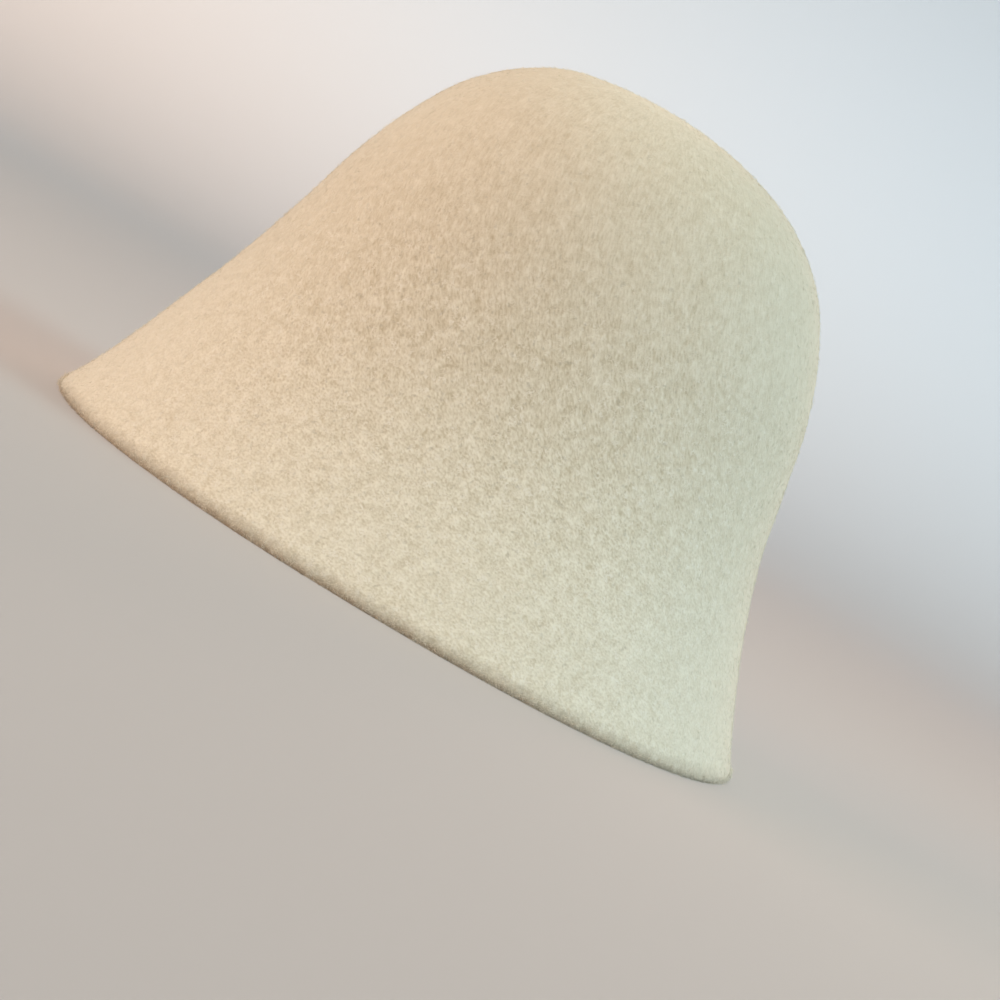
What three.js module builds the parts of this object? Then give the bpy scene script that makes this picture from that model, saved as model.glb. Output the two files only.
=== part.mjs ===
// Bucket hat blocked in one piece from thick wool felt, with no seam between the crown and the brim.
// Millimetres, +Z up. The front of the brim points along -Y and the wearer's left along +X.
// The origin lies on the surface that the hat stands on, under the middle of its rim.
import * as THREE from "three";

// Driving dimensions
const feltThickness = 3;
const footWidth = 1.2; // flat that the cut edge is pressed to where the hat stands on it
const rimSquareness = 2.18; // exponent of the rim's oval: 2 is an ellipse, and more is squarer
const headLineHeight = 101; // from here up every section is a plain ellipse

// The cut edge is a half round of this radius, so its centre lies this high above the foot.
const edgeRadius = feltThickness / 2;
const footHalfAngle = Math.asin(footWidth / 2 / edgeRadius);
const edgeHeight = edgeRadius * Math.cos(footHalfAngle);

// The middle of the felt, as oval sections from the rim up: how high each one lies, and how far it
// reaches from the hat's axis to the front, to the back and to either side.
const sections = [
  { place: "rim", height: edgeHeight, front: 141, back: 141, side: 129 },
  { place: "brim, low", height: 20, front: 131.5, back: 131.5, side: 117.5 },
  { place: "brim, middle", height: 45, front: 121, back: 120.5, side: 103.5 },
  { place: "brim, high", height: 73, front: 109.5, back: 111, side: 91.5 },
  { place: "head line", height: headLineHeight, front: 100, back: 105, side: 83.5 },
  { place: "crown, low", height: 127, front: 92, back: 99, side: 77.5 },
  { place: "crown, middle", height: 150, front: 82, back: 89.5, side: 70.5 },
  { place: "shoulder", height: 169.5, front: 70, back: 76.5, side: 60.5 },
  { place: "shoulder, high", height: 184.5, front: 53, back: 56.5, side: 45 },
  { place: "tip", height: 193, front: 33.5, back: 31.5, side: 27 },
  { place: "top of crown", height: 196.5, front: 0, back: 0, side: 0 },
];
const sectionColumns = ["height", "front", "back", "side"];

// How finely the surface is cut into flat faces
const facesAround = 72;
const outerStepsPerSection = 3;
const innerStepsPerSection = 2;
const edgeSteps = { outside: 3, inside: 2 };

// The sections with one more row at each end. Below the rim the brim runs straight on, and past the
// top the crown's front turns into its back, so that the crown closes with a level top.
function sectionsWithEnds() {
  const [rim, nextToRim] = sections;
  const nextToTop = sections[sections.length - 2];
  const belowRim = {};
  for (const column of sectionColumns) belowRim[column] = 2 * rim[column] - nextToRim[column];
  const pastTop = {
    height: nextToTop.height,
    front: -nextToTop.back,
    back: -nextToTop.front,
    side: -nextToTop.side,
  };
  return [belowRim, ...sections, pastTop];
}
const curveRows = sectionsWithEnds();

// A smooth curve through one column of the table, at a place counted in sections from the rim
function smoothColumn(column, place) {
  const index = THREE.MathUtils.clamp(Math.floor(place), 0, sections.length - 2);
  const t = place - index;
  const [before, from, to, after] = curveRows.slice(index, index + 4).map((row) => row[column]);
  const startSlope = (to - before) / 2;
  const endSlope = (after - from) / 2;
  const bend = 3 * (to - from) - 2 * startSlope - endSlope;
  const twist = 2 * (from - to) + startSlope + endSlope;
  return from + startSlope * t + bend * t ** 2 + twist * t ** 3;
}

// Point in the middle of the felt. The angle runs from the front round to the wearer's left.
function middlePoint(place, angle) {
  const height = smoothColumn("height", place);
  const reach = smoothColumn(Math.cos(angle) > 0 ? "front" : "back", place);
  const side = smoothColumn("side", place);
  const aboveRim = THREE.MathUtils.clamp(height / headLineHeight, 0, 1);
  const power = 2 / THREE.MathUtils.lerp(rimSquareness, 2, aboveRim);
  const along = (value) => Math.sign(value) * Math.abs(value) ** power;
  return new THREE.Vector3(side * along(Math.sin(angle)), -reach * along(Math.cos(angle)), height);
}

// Unit vector out of the felt, square to the way up the wall and to the way round it
function outwardNormal(place, angle) {
  const small = 1e-3;
  const up = middlePoint(place + small, angle).sub(middlePoint(place - small, angle));
  const round = middlePoint(place, angle + small).sub(middlePoint(place, angle - small));
  return round.cross(up).normalize();
}

// Ring of points at one height of the wall, on its outer (+1) or inner (-1) face
function wallRing(place, face) {
  return ringOf((angle) =>
    middlePoint(place, angle).addScaledVector(outwardNormal(place, angle), (face * feltThickness) / 2),
  );
}

// Ring of points on the rounded cut edge, at an angle below level: 0 points straight outwards,
// a quarter turn straight down, and a half turn straight inwards.
function edgeRing(belowLevelAt) {
  return ringOf((angle) => {
    const normal = outwardNormal(0, angle);
    const level = new THREE.Vector3(normal.x, normal.y, 0).normalize();
    const flare = Math.asin(normal.z);
    const belowLevel = belowLevelAt(flare);
    return middlePoint(0, angle)
      .addScaledVector(level, edgeRadius * Math.cos(belowLevel))
      .add(new THREE.Vector3(0, 0, -edgeRadius * Math.sin(belowLevel)));
  });
}

function ringOf(pointAt) {
  const ring = [];
  for (let i = 0; i < facesAround; i++) ring.push(pointAt((i / facesAround) * 2 * Math.PI));
  return ring;
}

// The cut edge from the outer face of the wall, over the flat foot, to the inner face
function edgeRings() {
  const footOutside = Math.PI / 2 - footHalfAngle;
  const footInside = Math.PI / 2 + footHalfAngle;
  const rings = [];
  for (let i = 1; i <= edgeSteps.outside; i++) {
    const share = i / edgeSteps.outside;
    rings.push(edgeRing((flare) => THREE.MathUtils.lerp(-flare, footOutside, share)));
  }
  for (let i = 0; i < edgeSteps.inside; i++) {
    const share = i / edgeSteps.inside;
    rings.push(edgeRing((flare) => THREE.MathUtils.lerp(footInside, Math.PI - flare, share)));
  }
  return rings;
}

// Rings on one face of the wall, from the rim up to just short of the crown's top
function wallRings(stepsPerSection, face) {
  const steps = (sections.length - 1) * stepsPerSection;
  const rings = [];
  for (let i = 0; i < steps; i++) rings.push(wallRing(i / stepsPerSection, face));
  return rings;
}

// Closed surface over rings that run from one end point to the other, facing out
function closedSurface(start, rings, end) {
  const points = [start, ...rings.flat(), end];
  const last = points.length - 1;
  const index = [];
  const at = (ring, i) => 1 + ring * facesAround + (i % facesAround);
  for (let i = 0; i < facesAround; i++) {
    index.push(0, at(0, i), at(0, i + 1));
    index.push(last, at(rings.length - 1, i + 1), at(rings.length - 1, i));
    for (let ring = 0; ring + 1 < rings.length; ring++) {
      index.push(at(ring, i), at(ring + 1, i), at(ring + 1, i + 1));
      index.push(at(ring, i), at(ring + 1, i + 1), at(ring, i + 1));
    }
  }
  const geometry = new THREE.BufferGeometry().setFromPoints(points);
  geometry.setIndex(index);
  geometry.computeVertexNormals();
  return geometry;
}

// The whole wall, from the top of the crown down its outside, round the cut edge and up its inside
function feltBody() {
  const top = middlePoint(sections.length - 1, 0);
  const halfWall = new THREE.Vector3(0, 0, feltThickness / 2);
  const outside = wallRings(outerStepsPerSection, 1).reverse();
  const inside = wallRings(innerStepsPerSection, -1);
  const geometry = closedSurface(
    top.clone().add(halfWall),
    [...outside, ...edgeRings(), ...inside],
    top.clone().sub(halfWall),
  );
  const material = new THREE.MeshStandardMaterial({ color: 0xe3d8c1, roughness: 0.95, metalness: 0 });
  const mesh = new THREE.Mesh(geometry, material);
  mesh.name = "felt_body";
  return mesh;
}

const hat = new THREE.Group();
hat.name = "bucket_hat";
hat.add(feltBody());

export default hat;
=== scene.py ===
import math

import bmesh
import bpy
import numpy as np
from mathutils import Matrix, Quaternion, Vector, noise


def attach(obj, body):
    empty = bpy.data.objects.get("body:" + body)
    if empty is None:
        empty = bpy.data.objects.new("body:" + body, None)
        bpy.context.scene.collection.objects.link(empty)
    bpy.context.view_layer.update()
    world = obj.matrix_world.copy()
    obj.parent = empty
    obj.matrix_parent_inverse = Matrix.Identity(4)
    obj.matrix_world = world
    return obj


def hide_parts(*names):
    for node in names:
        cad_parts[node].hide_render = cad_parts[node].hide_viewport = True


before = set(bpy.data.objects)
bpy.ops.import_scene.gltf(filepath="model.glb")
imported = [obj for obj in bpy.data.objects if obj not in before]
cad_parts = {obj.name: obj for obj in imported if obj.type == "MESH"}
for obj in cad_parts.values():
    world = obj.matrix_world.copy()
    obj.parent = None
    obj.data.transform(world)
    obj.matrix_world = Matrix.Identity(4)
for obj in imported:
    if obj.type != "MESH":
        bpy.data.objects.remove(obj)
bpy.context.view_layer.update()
scene = bpy.context.scene
mm = 0.001


def linearColour(hexText):
    # sRGB hex to the linear values that lights and shaders work in
    values = [int(hexText[i:i + 2], 16) / 255 for i in (1, 3, 5)]
    return (*(v / 12.92 if v <= 0.04045 else ((v + 0.055) / 1.055) ** 2.4 for v in values), 1.0)


def directionFrom(azimuth, elevation):
    # unit vector to where something stands: azimuth 0 is the hat's front, 90 the wearer's left
    a, e = math.radians(azimuth), math.radians(elevation)
    return Vector((math.sin(a) * math.cos(e), -math.cos(a) * math.cos(e), math.sin(e)))


def addNode(tree, kind, settings=None, inputs=None):
    # one node, its own settings, and its sockets as values or as links from other sockets
    node = tree.nodes.new(kind)
    for name, value in (settings or {}).items():
        setattr(node, name, value)
    for socket, value in (inputs or {}).items():
        if isinstance(value, bpy.types.NodeSocket):
            tree.links.new(value, node.inputs[socket])
        else:
            node.inputs[socket].default_value = value
    return node


def newMaterial(name):
    material = bpy.data.materials.new(name)
    material.use_nodes = True
    material.node_tree.nodes.clear()
    return material, material.node_tree


def inVertexOrder(bm):
    # spin leaves the edges and faces in another order each time, and the nap is scattered in their order
    bm.verts.index_update()
    count = len(bm.verts)

    def place(element):
        first, second, *others = sorted(vertex.index for vertex in element.verts)
        return (first * count + second) * count + (others[0] if others else 0)

    bm.edges.sort(key=place)
    bm.faces.sort(key=place)


def objectFrom(name, bm):
    mesh = bpy.data.meshes.new(name)
    bm.to_mesh(mesh)
    bm.free()
    piece = bpy.data.objects.new(name, mesh)
    scene.collection.objects.link(piece)
    return piece


# ---- camera, level with the brim on the wearer's left, and turned so that the hat tips forward
view = {
    "azimuth": 90,
    "elevation": 4.2,
    "roll": 30.9,
    "distance": 0.9,
    "aim": (0, 0.018, 0.0437),
    "lens": 87,
}
cameraData = bpy.data.cameras.new("camera")
cameraData.lens = view["lens"]
camera = bpy.data.objects.new("camera", cameraData)
towardsCamera = directionFrom(view["azimuth"], view["elevation"])
camera.location = Vector(view["aim"]) + towardsCamera * view["distance"]
facing = (-towardsCamera).to_track_quat("-Z", "Y")
camera.rotation_mode = "QUATERNION"
camera.rotation_quaternion = facing @ Quaternion((0, 0, 1), math.radians(view["roll"]))
scene.collection.objects.link(camera)
scene.camera = camera
scene.view_settings.view_transform = "Standard"
print("camera ready")

# ---- pale studio, in metres: a floor that sweeps up all round
studio = {
    "floorRadius": 1.5,
    "sweepRadius": 4.0,
    "sweepTurn": 72,
    "sweepSteps": 18,
    "around": 96,
    "floorColour": "#ccc4c3",
    "sweepColour": "#ebedf4",
    "paleFrom": 0.5,  # how far out the floor's colour starts to turn into the sweep's
    "paleTo": 3.6,
}


def makeStudio():
    bm = bmesh.new()
    flat, sweep = studio["floorRadius"], studio["sweepRadius"]
    points = [(0, 0), (flat * 0.5, 0), (flat, 0)]
    for i in range(1, studio["sweepSteps"] + 1):
        turn = math.radians(studio["sweepTurn"] * i / studio["sweepSteps"])
        points.append((flat + sweep * math.sin(turn), sweep * (1 - math.cos(turn))))
    chain = [bm.verts.new((x, 0, z)) for x, z in points]
    edges = [bm.edges.new(pair) for pair in zip(chain, chain[1:])]
    bmesh.ops.spin(bm, geom=chain + edges, cent=(0, 0, 0), axis=(0, 0, 1), dvec=(0, 0, 0),
                   angle=math.tau, steps=studio["around"], use_merge=True)
    inVertexOrder(bm)
    bmesh.ops.remove_doubles(bm, verts=bm.verts, dist=1e-5)
    bmesh.ops.recalc_face_normals(bm, faces=bm.faces)
    for face in bm.faces:
        face.smooth = True
    return objectFrom("studio", bm)


# Matt painted board with no grain that shows: a warm grey floor that pales towards the far sweep. The
# darker floor and paler sweep are partly painted shade and painted light
paintedBoard, tree = newMaterial("paintedBoard")
boardCoords = addNode(tree, "ShaderNodeTexCoord")
farOut = addNode(tree, "ShaderNodeVectorMath", {"operation": "LENGTH"},
                 {0: boardCoords.outputs["Object"]}).outputs["Value"]
sweepShare = addNode(tree, "ShaderNodeMapRange", {"interpolation_type": "SMOOTHSTEP"}, {
    "Value": farOut, "From Min": studio["paleFrom"], "From Max": studio["paleTo"],
    "To Min": 0.0, "To Max": 1.0}).outputs[0]
boardColour = addNode(tree, "ShaderNodeMix", {"data_type": "RGBA"},
                      {0: sweepShare, 6: linearColour(studio["floorColour"]),
                       7: linearColour(studio["sweepColour"])}).outputs[2]
boardShader = addNode(tree, "ShaderNodeBsdfPrincipled", inputs={
    "Base Color": boardColour, "Roughness": 0.9, "Specular IOR Level": 0.2})
addNode(tree, "ShaderNodeOutputMaterial", inputs={"Surface": boardShader.outputs[0]})
studioPiece = makeStudio()
studioPiece.data.materials.append(paintedBoard)
print("studio ready")

# ---- lights: a pale overhead sky, two warm soft boxes before the brim, a cool one behind it, a weak warm
# one for the side away from the camera, and two for the far sweep, which stand past the hat with their
# backs to it. A grid narrows the light of each box to so many degrees.
hatMiddle = (0, 0, 0.1)
boxSize = 1.1
softBoxes = [
    {"name": "frontBox", "azimuth": 5, "elevation": 15, "distance": 2.4,
     "aim": hatMiddle, "grid": 56, "watts": 1.79, "colour": "#ffd6bc"},
    {"name": "frontSideBox", "azimuth": 35, "elevation": 16, "distance": 2.4,
     "aim": hatMiddle, "grid": 56, "watts": 1.58, "colour": "#ffca87"},
    {"name": "backBox", "azimuth": 170, "elevation": 28, "distance": 2.4,
     "aim": hatMiddle, "grid": 70, "watts": 3.6, "colour": "#c7f9ff"},
    {"name": "farBox", "azimuth": 250, "elevation": 22, "distance": 2.4,
     "aim": hatMiddle, "grid": 56, "watts": 1.4, "colour": "#ffd9bd"},
    {"name": "sweepBox", "azimuth": 270, "elevation": 48, "distance": 3.0,
     "aim": (-4.4, 0.5, 0.9), "grid": 140, "watts": 13.0, "colour": "#daf6ff"},
    {"name": "warmSweepBox", "azimuth": 290, "elevation": 40, "distance": 2.6,
     "aim": (-3.4, -1.9, 0.2), "grid": 140, "watts": 9.0, "colour": "#ffbc78"},
]
for box in softBoxes:
    light = bpy.data.lights.new(box["name"], "AREA")
    light.shape = "SQUARE"
    light.size = boxSize
    light.spread = math.radians(box["grid"])
    light.energy = box["watts"]
    light.color = linearColour(box["colour"])[:3]
    lamp = bpy.data.objects.new(box["name"], light)
    towardsBox = directionFrom(box["azimuth"], box["elevation"])
    lamp.location = Vector(hatMiddle) + towardsBox * box["distance"]
    lamp.rotation_euler = (Vector(box["aim"]) - lamp.location).to_track_quat("-Z", "Y").to_euler()
    lamp.visible_camera = False
    scene.collection.objects.link(lamp)
# the sky is brightest overhead and fades out thirty degrees above the floor, where the upward part of a
# direction is a half
skyLook = {"darkBelow": 0.5, "fullAbove": 0.98, "strength": 1.19, "colour": "#fdfff8"}
world = bpy.data.worlds.new("studioSky")
world.use_nodes = True
sky = world.node_tree
sky.nodes.clear()
skyCoords = addNode(sky, "ShaderNodeTexCoord")
upwards = addNode(sky, "ShaderNodeSeparateXYZ", inputs={0: skyCoords.outputs["Generated"]}).outputs["Z"]
skyStrength = addNode(sky, "ShaderNodeMapRange", {"interpolation_type": "SMOOTHSTEP"}, {
    "Value": upwards, "From Min": skyLook["darkBelow"], "From Max": skyLook["fullAbove"],
    "To Min": 0.0, "To Max": skyLook["strength"]}).outputs[0]
skyLight = addNode(sky, "ShaderNodeBackground", inputs={
    "Color": linearColour(skyLook["colour"]), "Strength": skyStrength})
addNode(sky, "ShaderNodeOutputWorld", inputs={"Surface": skyLight.outputs[0]})
scene.world = world
print("lights ready")

# ---- the felt, in mm
felt = {
    "thickness": 3.0,
    "edgeRound": 1.38,  # rounding of each corner of the cut edge
    "roundSteps": 3,
    "rimSquareness": 2.18,  # 2 is an ellipse, and more is squarer
    "headLine": 101,  # height from which every section is a plain ellipse
    "around": 480,
    "alongWall": 98,
}
# middle of the felt from the rim to the top of the crown, mm
sections = [
    {"height": 1.375, "front": 141, "back": 141, "side": 129},
    {"height": 20, "front": 131.5, "back": 131.5, "side": 117.5},
    {"height": 45, "front": 121, "back": 120.5, "side": 103.5},
    {"height": 73, "front": 109.5, "back": 111, "side": 91.5},
    {"height": 101, "front": 100, "back": 105, "side": 83.5},
    {"height": 127, "front": 92, "back": 99, "side": 77.5},
    {"height": 150, "front": 82, "back": 89.5, "side": 70.5},
    {"height": 169.5, "front": 70, "back": 76.5, "side": 60.5},
    {"height": 184.5, "front": 53, "back": 56.5, "side": 45},
    {"height": 193, "front": 33.5, "back": 31.5, "side": 27},
    {"height": 196.5, "front": 0, "back": 0, "side": 0},
]


def columnRows(column):
    # one column with a row more at each end: straight on below the rim, mirrored past the top
    mirrored = {"height": ("height", 1), "front": ("back", -1), "back": ("front", -1), "side": ("side", -1)}
    other, sign = mirrored[column]
    values = [row[column] for row in sections]
    return np.array([2 * values[0] - values[1], *values, sign * sections[-2][other]])


sectionColumns = {column: columnRows(column) for column in ("height", "front", "back", "side")}


def smoothColumn(column, place):
    index = np.clip(np.floor(place).astype(int), 0, len(sections) - 2)
    t = place - index
    before, start, end, after = (sectionColumns[column][index + k] for k in range(4))
    startSlope, endSlope = (end - before) / 2, (after - start) / 2
    bend = 3 * (end - start) - 2 * startSlope - endSlope
    twist = 2 * (start - end) + startSlope + endSlope
    return start + startSlope * t + bend * t ** 2 + twist * t ** 3


def middleOfFelt(place, angle):
    # mm; angle 0 is the front and a quarter turn the wearer's left
    height = smoothColumn("height", place)
    reach = np.where(np.cos(angle) > 0, smoothColumn("front", place), smoothColumn("back", place))
    aboveRim = np.clip(height / felt["headLine"], 0, 1)
    power = 2 / (felt["rimSquareness"] + (2 - felt["rimSquareness"]) * aboveRim)
    across, along = np.sin(angle), np.cos(angle)
    return np.stack([
        smoothColumn("side", place) * np.sign(across) * np.abs(across) ** power,
        -reach * np.sign(along) * np.abs(along) ** power,
        height,
    ], axis=-1)


def unit(vectors):
    return vectors / np.maximum(np.linalg.norm(vectors, axis=-1, keepdims=True), 1e-9)


def faceOfFelt(place, angle):
    # outer face: half the thickness out from the middle, square to it
    step = 1e-3
    up = middleOfFelt(place + step, angle) - middleOfFelt(place - step, angle)
    around = middleOfFelt(place, angle + step) - middleOfFelt(place, angle - step)
    outwards = unit(np.cross(around, up))
    return middleOfFelt(place, angle) + outwards * felt["thickness"] / 2, outwards


# hand-blocked unevenness, mm: broad waves and small lumps, and a cut edge that wanders a little
unevenness = [{"size": 55, "height": 0.35}, {"size": 14, "height": 0.12}, {"size": 4.5, "height": 0.07}]
cutEdgeWave = {"size": 5, "height": 0.55, "upTo": 7}


def lumpAt(point):
    lump = sum(wave["height"] * noise.noise(Vector(point) / wave["size"]) for wave in unevenness)
    nearEdge = max(0, 1 - point[2] / cutEdgeWave["upTo"])
    return lump + cutEdgeWave["height"] * nearEdge * noise.noise(Vector(point) / cutEdgeWave["size"])


def makeFelt():
    # a tube of unit radius is spun from one upright line, then every vertex goes to its place
    bm = bmesh.new()
    # the cut edge lies half a thickness past the first section
    rim, nextUp = middleOfFelt(np.array([0.0, 1.0]), 0.0)
    edgePlace = -felt["thickness"] / 2 / np.linalg.norm(nextUp - rim)
    places = np.linspace(edgePlace, len(sections) - 1, felt["alongWall"] + 1)
    chain = [bm.verts.new((0, -1, place)) for place in places]
    edges = [bm.edges.new(pair) for pair in zip(chain, chain[1:])]
    bmesh.ops.spin(bm, geom=chain + edges, cent=(0, 0, 0), axis=(0, 0, 1), dvec=(0, 0, 0),
                   angle=math.tau, steps=felt["around"], use_merge=True)
    inVertexOrder(bm)
    tube = np.array([vertex.co[:] for vertex in bm.verts])
    angles = np.arctan2(tube[:, 0], -tube[:, 1])
    points, outwards = faceOfFelt(tube[:, 2], angles)
    top = tube[:, 2] > len(sections) - 1 - 1e-4
    points[top] = (0, 0, sections[-1]["height"] + felt["thickness"] / 2)
    outwards[top] = (0, 0, 1)
    for vertex, point, outward in zip(bm.verts, points, outwards):
        vertex.co = Vector(point) * mm + Vector(outward) * lumpAt(point) * mm
    bmesh.ops.remove_doubles(bm, verts=bm.verts, dist=1e-6)
    bmesh.ops.recalc_face_normals(bm, faces=bm.faces)
    bmesh.ops.solidify(bm, geom=bm.faces[:], thickness=felt["thickness"] * mm)
    # only the corners of the cut edge are this sharp, over a radian
    corners = [edge for edge in bm.edges if len(edge.link_faces) == 2 and edge.calc_face_angle() > 1]
    bmesh.ops.bevel(bm, geom=corners, offset=felt["edgeRound"] * mm, offset_type="OFFSET",
                    segments=felt["roundSteps"], profile=0.5, affect="EDGES", material=-1)
    for vertex in bm.verts:
        vertex.co.z = max(vertex.co.z, 0)  # the edge is pressed flat where the hat stands
    for face in bm.faces:
        face.smooth = True
    return objectFrom("felt_shell", bm)


feltPiece = makeFelt()
print("felt ready:", len(feltPiece.data.polygons), "faces")

# ---- the nap: short brushed fibres that lie on the felt
# by height in mm: how far the nap turns from straight downhill, in degrees, and how well combed the felt
# shows it
napTable = {
    "height": (0, 40, 80, 150, 198),
    "turn": (78, 60, 38, 15, 0),
    "combed": (0.5, 0.5, 0.9, 1.7, 1.7),
}
# fibre sizes in mm, several times coarser than real wool so that they show: how deep the root sits and
# how far the tip stands off the felt. Then how much the fibre bows, how far it strays from the nap's
# direction in degrees, how many lie any way at all, and how much paler they are.
brushed = {"length": (1.2, 3.4), "width": (0.07, 0.19), "sink": 0.05, "rise": (-0.06, 0.05),
           "bow": 0.16, "stray": 42, "loose": 0.2, "pale": 0.0}
# the standing fibres are painted paler: painted light, for the light that passes through them
standing = {"length": (1.0, 2.8), "width": (0.06, 0.12), "sink": 0.05, "rise": (0.15, 1.0),
            "bow": 0.3, "stray": 60, "loose": 0.5, "pale": 0.45}
frayed = {"length": (1.0, 3.0), "width": (0.10, 0.24), "sink": 0.05, "rise": (0.2, 1.5),
          "bow": 0.35, "stray": 60, "loose": 0.6, "pale": 0.0}
# where each patch grows: between two heights in mm, on the outer (1) or the inner (-1) face
napPatches = {
    "nap_brim": {"from": -1, "to": 58, "side": 1, "count": 21000, "seed": 11, **brushed},
    "nap_waist": {"from": 58, "to": 128, "side": 1, "count": 19000, "seed": 12, **brushed},
    "nap_crown": {"from": 128, "to": 210, "side": 1, "count": 12000, "seed": 13, **brushed},
    "nap_inside": {"from": -1, "to": 210, "side": -1, "count": 16000, "seed": 14, **brushed},
    "nap_standing": {"from": 3, "to": 210, "side": 1, "count": 31000, "seed": 15, **standing},
    "nap_rim": {"from": -1, "to": 2.2, "side": 1, "count": 11000, "seed": 16, **frayed},
}
fibreSides = 3
# a fibre runs from root to tip over one middle point: how far along that lies, how far it is lifted as a
# share of the fibre's width, and how much of the bow the tip turns back
fibreBow = {"middle": 0.5, "lift": 0.3, "tipBack": 0.3}
headMiddle = (0, 0, 0.07)  # inside the hat, and seen by the inner face alone
clearOfFloor = 0.13  # mm; the least height of a spine, more than half of the widest fibre
# tone of a fibre, from 0 for dark to 1 for pale: its random part, and the painted light it gains at the
# rim, in full up to one height in mm and not at all from the other up
napTone = {"spread": 0.7, "rimPaintedLight": 0.3, "fullTo": 20, "noneFrom": 110}


def napDirections(points, normals):
    # downhill along the felt, turned to the side more and more towards the rim. Where the felt lies level,
    # at the very top, the nap runs outwards.
    height = points[:, 2] / mm
    downhill = normals * normals[:, 2:3] - np.array([0.0, 0.0, 1.0])
    flat = np.linalg.norm(downhill, axis=1) < 0.05
    downhill[flat] = points[flat] * (1, 1, 0) + (1e-6, 0, 0)
    downhill = unit(downhill)
    sideways = unit(np.cross(normals, downhill))
    turn = np.radians(np.interp(height, napTable["height"], napTable["turn"]))
    return downhill, sideways, turn


def vertexRows(mesh, quality):
    # "co" or "normal" of every vertex, one row each
    values = np.empty(len(mesh.vertices) * 3, np.float32)
    mesh.vertices.foreach_get(quality, values)
    return values.reshape(-1, 3).astype(float)


def surfaceSamples(mesh):
    # corner places and normals of every triangle, with its area
    mesh.calc_loop_triangles()
    corners = np.empty(len(mesh.loop_triangles) * 3, np.int32)
    mesh.loop_triangles.foreach_get("vertices", corners)
    corners = corners.reshape(-1, 3)
    triangles = vertexRows(mesh, "co")[corners]
    first, second, third = triangles[:, 0], triangles[:, 1], triangles[:, 2]
    area = np.linalg.norm(np.cross(second - first, third - first), axis=1) / 2
    return triangles, vertexRows(mesh, "normal")[corners], area


def scatter(triangles, triangleNormals, area, wanted, count, rng):
    odds = area * wanted
    chosen = rng.choice(len(area), size=count, p=odds / odds.sum())
    a, b = rng.random(count), rng.random(count)
    over = a + b > 1
    a[over], b[over] = 1 - a[over], 1 - b[over]
    share = np.stack([1 - a - b, a, b], axis=1)[:, :, None]
    return (triangles[chosen] * share).sum(axis=1), unit((triangleNormals[chosen] * share).sum(axis=1))


def joinedFibres(name, spine, across, upwards, width, tone):
    # spine: fibre, station, xyz. Round every inner station stands a ring of vertices.
    count, stations = spine.shape[:2]
    inner = stations - 2
    ring = []
    for k in range(fibreSides):
        turn = math.tau * k / fibreSides
        offset = across * math.cos(turn) + upwards * math.sin(turn)
        ring.append(spine[:, 1:-1] + offset[:, None] * (width[:, None, None] / 2))
    ring = np.stack(ring, axis=2).reshape(count, inner * fibreSides, 3)
    vertices = np.concatenate([spine[:, :1], ring, spine[:, -1:]], axis=1)
    perFibre = vertices.shape[1]
    last = perFibre - 1
    faces = []
    for k in range(fibreSides):
        n = (k + 1) % fibreSides
        faces.append((0, 1 + n, 1 + k))
        faces.append((last, last - fibreSides + k, last - fibreSides + n))
        for level in range(inner - 1):
            low, high = 1 + fibreSides * level, 1 + fibreSides * (level + 1)
            faces.append((low + k, low + n, high + n))
            faces.append((low + k, high + n, high + k))
    faces = np.array(faces)
    index = (faces[None] + np.arange(count)[:, None, None] * perFibre).reshape(-1, 3)
    mesh = bpy.data.meshes.new(name)
    mesh.vertices.add(count * perFibre)
    mesh.vertices.foreach_set("co", vertices.astype(np.float32).ravel())
    mesh.loops.add(index.size)
    mesh.loops.foreach_set("vertex_index", index.astype(np.int32).ravel())
    mesh.polygons.add(len(index))
    mesh.polygons.foreach_set("loop_start", np.arange(0, index.size, 3, dtype=np.int32))
    mesh.polygons.foreach_set("use_smooth", np.ones(len(index), bool))
    mesh.update(calc_edges=True)
    toneLayer = mesh.attributes.new("tone", "FLOAT", "POINT")
    toneLayer.data.foreach_set("value", np.repeat(tone, perFibre).astype(np.float32))
    piece = bpy.data.objects.new(name, mesh)
    scene.collection.objects.link(piece)
    return piece


def growNap(name, patch, surface):
    triangles, triangleNormals, area = surface
    rng = np.random.default_rng(patch["seed"])
    centre = triangles.mean(axis=1)
    outward = ((centre - headMiddle) * triangleNormals.mean(axis=1)).sum(axis=1) > 0
    height = centre[:, 2] / mm
    wanted = (outward == (patch["side"] > 0)) & (height >= patch["from"]) & (height < patch["to"])
    count = patch["count"]
    spots, normals = scatter(triangles, triangleNormals, area, wanted, count, rng)
    downhill, sideways, turn = napDirections(spots, normals)
    turn = turn + rng.normal(0, math.radians(patch["stray"]), count)
    loose = rng.random(count) < patch["loose"]
    turn[loose] = rng.uniform(-math.pi, math.pi, loose.sum())
    along = downhill * np.cos(turn)[:, None] + sideways * np.sin(turn)[:, None]
    across = unit(np.cross(normals, along))
    length = (rng.uniform(*patch["length"], count) * mm)[:, None]
    width = rng.uniform(*patch["width"], count) * mm
    rise = (rng.uniform(*patch["rise"], count) * mm)[:, None]
    bow = rng.normal(0, patch["bow"], count)[:, None] * length
    root = spots - normals * patch["sink"] * mm
    middle = spots + along * length * fibreBow["middle"] + across * bow
    middle = middle + normals * (rise * fibreBow["middle"] + width[:, None] * fibreBow["lift"])
    tip = spots + along * length + normals * rise - across * bow * fibreBow["tipBack"]
    spine = np.stack([root, middle, tip], axis=1)
    spine[:, :, 2] = np.maximum(spine[:, :, 2], clearOfFloor * mm)
    # painted light: fibres near the rim are painted paler, like the felt there
    rimPaintedLight = np.interp(spots[:, 2] / mm, (napTone["fullTo"], napTone["noneFrom"]), (napTone["rimPaintedLight"], 0))
    tone = np.minimum(rng.random(count) * napTone["spread"] + rimPaintedLight + patch["pale"], 1)
    return joinedFibres(name, spine, across, normals, width, tone)


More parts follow.
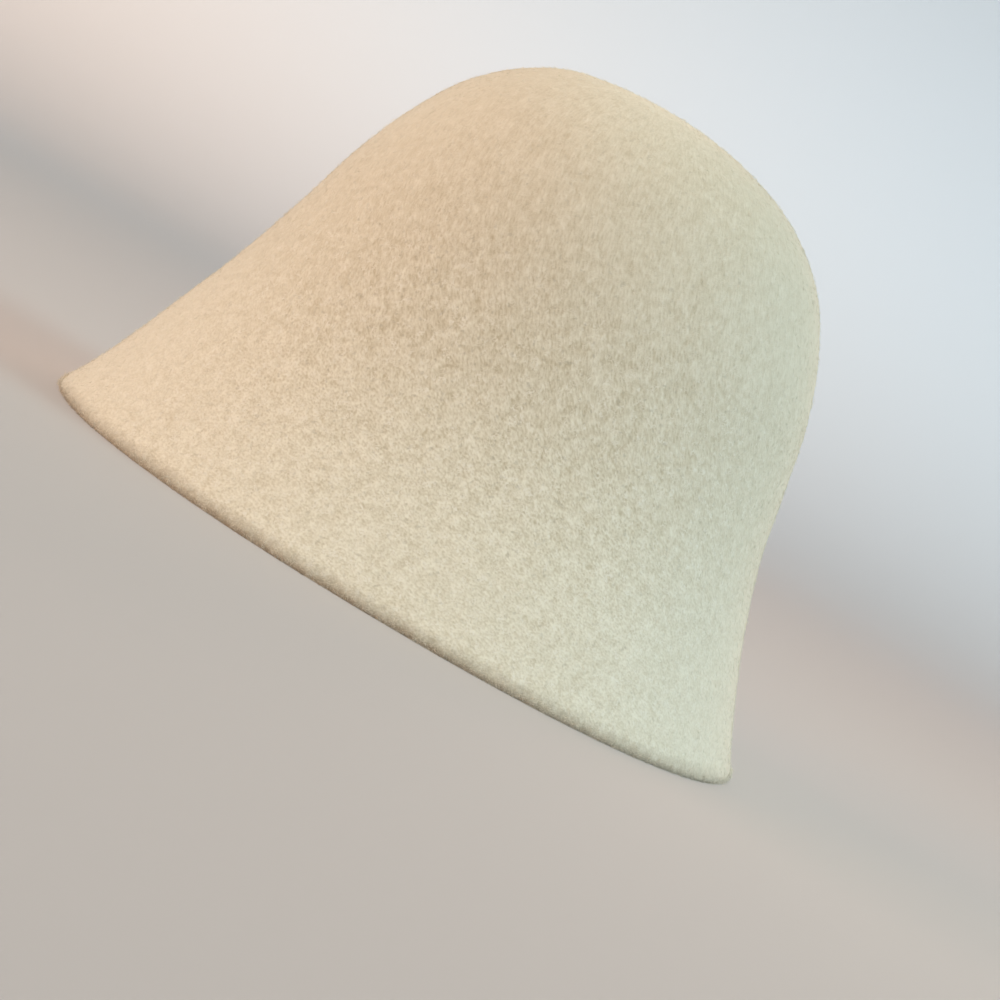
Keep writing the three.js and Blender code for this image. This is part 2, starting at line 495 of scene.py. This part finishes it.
surface = surfaceSamples(feltPiece.data)
napPieces = {name: growNap(name, patch, surface) for name, patch in napPatches.items()}
print("nap ready:", sum(len(piece.data.polygons) for piece in napPieces.values()), "faces")

# the direction of the nap goes with every vertex of the felt, for its material
napLayer = feltPiece.data.attributes.new("napDirection", "FLOAT_VECTOR", "POINT")
feltPoints = vertexRows(feltPiece.data, "co")
downhill, sideways, turn = napDirections(feltPoints, vertexRows(feltPiece.data, "normal"))
combed = np.interp(feltPoints[:, 2] / mm, napTable["height"], napTable["combed"])
napVectors = (downhill * np.cos(turn)[:, None] + sideways * np.sin(turn)[:, None]) * combed[:, None]
napLayer.data.foreach_set("vector", napVectors.astype(np.float32).ravel())

# ---- materials
# of these colours, the cut edge's dark brown is painted shade, for the shade where the rolled cut edge
# turns under
woolShades = {"dark": "#c5b698", "light": "#fff8e8", "speck": "#9c917c", "edgeShadeColour": "#8f7d66",
              "fibreDark": "#e6dbc4", "fibreLight": "#fff9ee", "bloom": "#fff6e6"}
# the wool's patterns: their sizes in mm, the values of their noise between which each comes in, how strong
# it gets at most, and how high it stands in mm. For the strands the value is the distance from a level
# line. A single fibre, 0.03 mm across, is too fine to show, so the streaks and the strands are drawn as
# tufts of 0.5 to 2 mm.
woolGrain = {
    "streak": {"size": 0.8, "step": 0.42, "from": 1.1, "to": 1.9, "bump": 0.03},
    "clump": {"size": 4, "weight": 2.4, "bump": 0.12},
    "strand": {"size": 2.1, "from": 0.038, "to": 0.008},
    "strandPatch": {"size": 3.1, "from": 0.42, "to": 0.6, "most": 0.85},
    "speck": {"size": 1.9, "from": 0.64, "to": 0.76, "most": 0.6},
}
# what changes with height: from the first value to the second between two heights in mm
woolByHeight = {
    "crownGrain": {"heights": (100, 165), "values": (0.63, 0.42)},
    "rimGrain": {"heights": (15, 60), "values": (0.8, 1.0)},
    # the felt's own tone with painted light, painted paler towards the rim
    "pale": {"heights": (16, 100), "values": (0.66, 0.47)},
    # painted shade, darker towards the top of the crown
    "paintedTopShade": {"heights": (150, 190), "values": (0.0, 0.17)},
    "pressedIn": {"heights": (90, 150), "values": (0.0, 1.0)},
}
# the grain also weakens round the hat, from where this share of the way out is lengthways, 30 degrees off
# the side, to the very front and back
endsGrain = {"from": 0.5, "to": 1.0, "values": (1.0, 0.6)}
# where pale strands are pressed in, they show less one by one and lighten the whole a little
pressedStrands = {"hidden": 0.6, "lightens": 0.035}
# painted shade along the cut edge: the felt is painted dark below the first height and keeps its own colour
# above the second, in mm, once a wander of up to 7 mm is added to its height. At the front and back, from
# one length to the other, that fades.
paintedEdgeShade = {"felt": (3.8, 9.2), "fibre": (3.4, 7.2), "wanderSize": 3.5, "wander": 7,
                "ends": (130, 140), "leftAtEnds": 0.4}


# paints shade on the cut edge and the felt just above it, darkest at the bottom
def paintEdgeShade(tree, coords, colour, heights):
    below, above = heights
    endsFrom, endsTo = paintedEdgeShade["ends"]
    apart = addNode(tree, "ShaderNodeSeparateXYZ", inputs={0: coords})
    wander = addNode(tree, "ShaderNodeTexNoise", inputs={
        "Vector": coords, "Scale": 1 / (paintedEdgeShade["wanderSize"] * mm), "Detail": 4.0,
        "Roughness": 0.85}).outputs["Fac"]
    height = addNode(tree, "ShaderNodeMath", {"operation": "MULTIPLY_ADD"},
                     {0: wander, 1: paintedEdgeShade["wander"] * mm, 2: apart.outputs["Z"]}).outputs[0]
    share = addNode(tree, "ShaderNodeMapRange", inputs={
        "Value": height, "From Min": below * mm, "From Max": above * mm,
        "To Min": 1.0, "To Max": 0.0}).outputs[0]
    lengthways = addNode(tree, "ShaderNodeMath", {"operation": "ABSOLUTE"},
                         {0: apart.outputs["Y"]}).outputs[0]
    left = addNode(tree, "ShaderNodeMapRange", {"interpolation_type": "SMOOTHSTEP"}, {
        "Value": lengthways, "From Min": endsFrom * mm, "From Max": endsTo * mm,
        "To Min": 1.0, "To Max": paintedEdgeShade["leftAtEnds"]}).outputs[0]
    share = addNode(tree, "ShaderNodeMath", {"operation": "MULTIPLY"}, {0: share, 1: left}).outputs[0]
    return addNode(tree, "ShaderNodeMix", {"data_type": "RGBA"},
                   {0: share, 6: colour, 7: linearColour(woolShades["edgeShadeColour"])}).outputs[2]


def napStreaks(tree, coords):
    # fine noise, blurred along the nap by adding it up at three steps, from 0 to 1
    look = woolGrain["streak"]
    nap = addNode(tree, "ShaderNodeAttribute", {"attribute_name": "napDirection"}).outputs["Vector"]
    total = None
    for k in (-1, 0, 1):
        moved = addNode(tree, "ShaderNodeVectorMath", {"operation": "MULTIPLY_ADD"},
                        {0: nap, 1: (k * look["step"] * mm,) * 3, 2: coords}).outputs[0]
        grain = addNode(tree, "ShaderNodeTexNoise", inputs={
            "Vector": moved, "Scale": 1 / (look["size"] * mm), "Detail": 1.0,
            "Roughness": 0.6}).outputs["Fac"]
        total = grain if total is None else addNode(
            tree, "ShaderNodeMath", {"operation": "ADD"}, {0: total, 1: grain}).outputs[0]
    return addNode(tree, "ShaderNodeMapRange", inputs={
        "Value": total, "From Min": look["from"], "From Max": look["to"],
        "To Min": 0.0, "To Max": 1.0}).outputs[0]


def grainStrength(tree, coords, byHeight):
    # the grain is fainter on the crown, where the block pressed the felt smoothest, towards the rim, and at
    # the front and the back
    gain = addNode(tree, "ShaderNodeMath", {"operation": "MULTIPLY"},
                   {0: byHeight["crownGrain"], 1: byHeight["rimGrain"]}).outputs[0]
    level = addNode(tree, "ShaderNodeVectorMath", {"operation": "MULTIPLY"},
                    {0: coords, 1: (1, 1, 0)}).outputs[0]
    level = addNode(tree, "ShaderNodeVectorMath", {"operation": "NORMALIZE"}, {0: level}).outputs[0]
    lengthways = addNode(tree, "ShaderNodeSeparateXYZ", inputs={0: level}).outputs["Y"]
    lengthways = addNode(tree, "ShaderNodeMath", {"operation": "ABSOLUTE"}, {0: lengthways}).outputs[0]
    sideValue, endValue = endsGrain["values"]
    towardsEnds = addNode(tree, "ShaderNodeMapRange", {"interpolation_type": "SMOOTHSTEP"}, {
        "Value": lengthways, "From Min": endsGrain["from"], "From Max": endsGrain["to"],
        "To Min": sideValue, "To Max": endValue}).outputs[0]
    return addNode(tree, "ShaderNodeMath", {"operation": "MULTIPLY"}, {0: gain, 1: towardsEnds}).outputs[0]


def toneWithPaintedLight(tree, byHeight):
    # the felt's tone with painted light and shade: palest at the rim, darker from the head line up, and
    # darkest at the very top
    paler = addNode(tree, "ShaderNodeMath", {"operation": "SUBTRACT"},
                    {0: byHeight["pale"], 1: byHeight["paintedTopShade"]}).outputs[0]
    return addNode(tree, "ShaderNodeMath", {"operation": "MULTIPLY_ADD"},
                   {0: byHeight["pressedIn"], 1: pressedStrands["lightens"], 2: paler}).outputs[0]


def paleStrands(tree, coords, pressedIn):
    # curly strands lie along the level lines of a noise, where it is a half, broken up by a second one
    look, patchLook = woolGrain["strand"], woolGrain["strandPatch"]
    curls = addNode(tree, "ShaderNodeTexNoise", inputs={
        "Vector": coords, "Scale": 1 / (look["size"] * mm), "Detail": 1.0, "Roughness": 0.6,
        "Distortion": 0.8}).outputs["Fac"]
    fromLine = addNode(tree, "ShaderNodeMath", {"operation": "SUBTRACT"}, {0: curls, 1: 0.5}).outputs[0]
    fromLine = addNode(tree, "ShaderNodeMath", {"operation": "ABSOLUTE"}, {0: fromLine}).outputs[0]
    strand = addNode(tree, "ShaderNodeMapRange", inputs={
        "Value": fromLine, "From Min": look["to"], "From Max": look["from"],
        "To Min": 1.0, "To Max": 0.0}).outputs[0]
    patches = addNode(tree, "ShaderNodeTexNoise", inputs={
        "Vector": coords, "Scale": 1 / (patchLook["size"] * mm), "Detail": 0.0}).outputs["Fac"]
    patches = addNode(tree, "ShaderNodeMapRange", inputs={
        "Value": patches, "From Min": patchLook["from"], "From Max": patchLook["to"],
        "To Min": 0.0, "To Max": patchLook["most"]}).outputs[0]
    standsOut = addNode(tree, "ShaderNodeMath", {"operation": "MULTIPLY_ADD"},
                        {0: pressedIn, 1: -pressedStrands["hidden"], 2: 1.0}).outputs[0]
    patches = addNode(tree, "ShaderNodeMath", {"operation": "MULTIPLY"},
                      {0: patches, 1: standsOut}).outputs[0]
    return addNode(tree, "ShaderNodeMath", {"operation": "MULTIPLY"}, {0: strand, 1: patches}).outputs[0]


def darkSpecks(tree, coords, gain):
    look = woolGrain["speck"]
    speck = addNode(tree, "ShaderNodeTexNoise", inputs={
        "Vector": coords, "Scale": 1 / (look["size"] * mm), "Detail": 1.0,
        "Roughness": 0.4}).outputs["Fac"]
    speck = addNode(tree, "ShaderNodeMapRange", inputs={
        "Value": speck, "From Min": look["from"], "From Max": look["to"],
        "To Min": 0.0, "To Max": look["most"]}).outputs[0]
    return addNode(tree, "ShaderNodeMath", {"operation": "MULTIPLY"}, {0: speck, 1: gain}).outputs[0]


def makeWoolFelt():
    # Fulled and brushed wool: matt, with fine streaks along the nap, soft lumps and a pale bloom where it
    # turns away. Its colour also holds painted light at the rim, and painted shade at the top of the crown
    # and along the cut edge
    material, tree = newMaterial("fulledWoolFelt")
    coords = addNode(tree, "ShaderNodeTexCoord").outputs["Object"]
    height = addNode(tree, "ShaderNodeSeparateXYZ", inputs={0: coords}).outputs["Z"]
    byHeight = {}
    for name, change in woolByHeight.items():
        low, high = change["heights"]
        lowValue, highValue = change["values"]
        byHeight[name] = addNode(tree, "ShaderNodeMapRange", {"interpolation_type": "SMOOTHSTEP"}, {
            "Value": height, "From Min": low * mm, "From Max": high * mm,
            "To Min": lowValue, "To Max": highValue}).outputs[0]
    streak = napStreaks(tree, coords)
    clumpLook = woolGrain["clump"]
    clump = addNode(tree, "ShaderNodeTexNoise", inputs={
        "Vector": coords, "Scale": 1 / (clumpLook["size"] * mm), "Detail": 3.0,
        "Roughness": 0.7}).outputs["Fac"]
    grain = addNode(tree, "ShaderNodeMath", {"operation": "MULTIPLY_ADD"},
                    {0: clump, 1: clumpLook["weight"], 2: streak}).outputs[0]
    # both lie about a half
    grain = addNode(tree, "ShaderNodeMath", {"operation": "SUBTRACT"},
                    {0: grain, 1: (clumpLook["weight"] + 1) / 2}).outputs[0]
    gain = grainStrength(tree, coords, byHeight)
    shade = addNode(tree, "ShaderNodeMath", {"operation": "MULTIPLY_ADD", "use_clamp": True},
                    {0: grain, 1: gain, 2: toneWithPaintedLight(tree, byHeight)}).outputs[0]
    colour = addNode(tree, "ShaderNodeMix", {"data_type": "RGBA"},
                     {0: shade, 6: linearColour(woolShades["dark"]),
                      7: linearColour(woolShades["light"])}).outputs[2]
    colour = addNode(tree, "ShaderNodeMix", {"data_type": "RGBA"},
                     {0: paleStrands(tree, coords, byHeight["pressedIn"]), 6: colour,
                      7: linearColour(woolShades["fibreLight"])}).outputs[2]
    # painted shade along the cut edge
    colour = paintEdgeShade(tree, coords, colour, paintedEdgeShade["felt"])
    colour = addNode(tree, "ShaderNodeMix", {"data_type": "RGBA"},
                     {0: darkSpecks(tree, coords, gain), 6: colour,
                      7: linearColour(woolShades["speck"])}).outputs[2]
    lumps = addNode(tree, "ShaderNodeBump", inputs={
        "Strength": 1.0, "Distance": clumpLook["bump"] * mm, "Height": clump})
    bump = addNode(tree, "ShaderNodeBump", inputs={
        "Strength": 1.0, "Distance": woolGrain["streak"]["bump"] * mm, "Height": streak,
        "Normal": lumps.outputs[0]})
    shader = addNode(tree, "ShaderNodeBsdfPrincipled", inputs={
        "Base Color": colour, "Roughness": 0.95, "IOR": 1.5, "Specular IOR Level": 0.1, "Sheen Weight": 1.0,
        "Sheen Roughness": 0.8, "Sheen Tint": linearColour(woolShades["bloom"]), "Normal": bump.outputs[0]})
    addNode(tree, "ShaderNodeOutputMaterial", inputs={"Surface": shader.outputs[0]})
    return material


def makeNapFibre():
    # Loose ends of wool: a little paler than the felt, each of its own tone, with painted shade near the
    # cut edge
    material, tree = newMaterial("brushedWoolFibre")
    coords = addNode(tree, "ShaderNodeTexCoord").outputs["Object"]
    tone = addNode(tree, "ShaderNodeAttribute", {"attribute_name": "tone"}).outputs["Fac"]
    colour = addNode(tree, "ShaderNodeMix", {"data_type": "RGBA"},
                     {0: tone, 6: linearColour(woolShades["fibreDark"]),
                      7: linearColour(woolShades["fibreLight"])}).outputs[2]
    # painted shade along the cut edge
    colour = paintEdgeShade(tree, coords, colour, paintedEdgeShade["fibre"])
    shader = addNode(tree, "ShaderNodeBsdfPrincipled", inputs={
        "Base Color": colour, "Roughness": 0.9, "IOR": 1.5, "Specular IOR Level": 0.15, "Sheen Weight": 1.0,
        "Sheen Roughness": 0.8, "Sheen Tint": linearColour(woolShades["bloom"])})
    addNode(tree, "ShaderNodeOutputMaterial", inputs={"Surface": shader.outputs[0]})
    return material


feltPiece.data.materials.append(makeWoolFelt())
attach(feltPiece, "root")
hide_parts("felt_body")
napMaterial = makeNapFibre()
for piece in napPieces.values():
    piece.data.materials.append(napMaterial)
    piece.visible_shadow = False  # single fibres let the light through
    piece.visible_diffuse = False
    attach(piece, "root")
print("materials ready")
